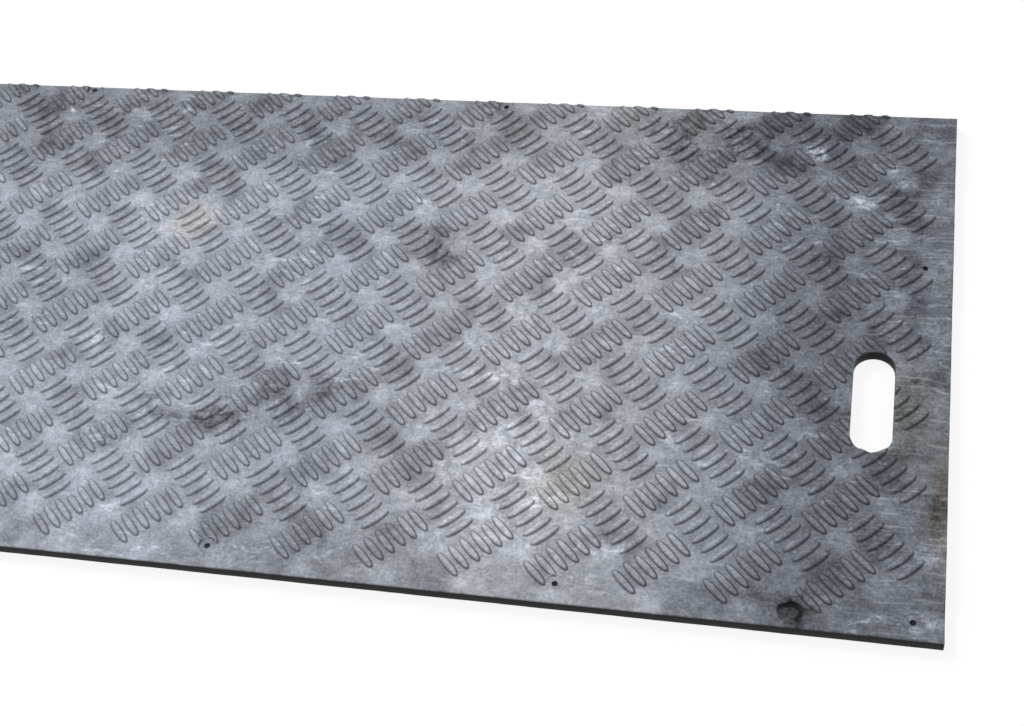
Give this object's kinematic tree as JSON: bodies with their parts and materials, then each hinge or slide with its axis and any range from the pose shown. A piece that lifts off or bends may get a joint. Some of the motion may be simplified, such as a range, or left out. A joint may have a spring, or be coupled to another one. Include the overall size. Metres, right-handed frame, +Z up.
{
  "type": "ground protection mat",
  "caption": "Long flat moulded plastic ground mat with a raised basket-weave tread and a rounded hand hole near each end.",
  "frame": {"origin": "middle of the underside, on the ground", "axes": "+X along the mat towards the end that the picture shows, +Y across it towards the sawn long edge, +Z up out of the tread"},
  "size_m": [2.44, 0.61, 0.0127],
  "materials": {
    "mat": "dusty black recycled polyethylene, scuffed and greyed on top"
  },
  "bodies": {
    "root": {"mat": "mat"}
  },
  "joints": []
}
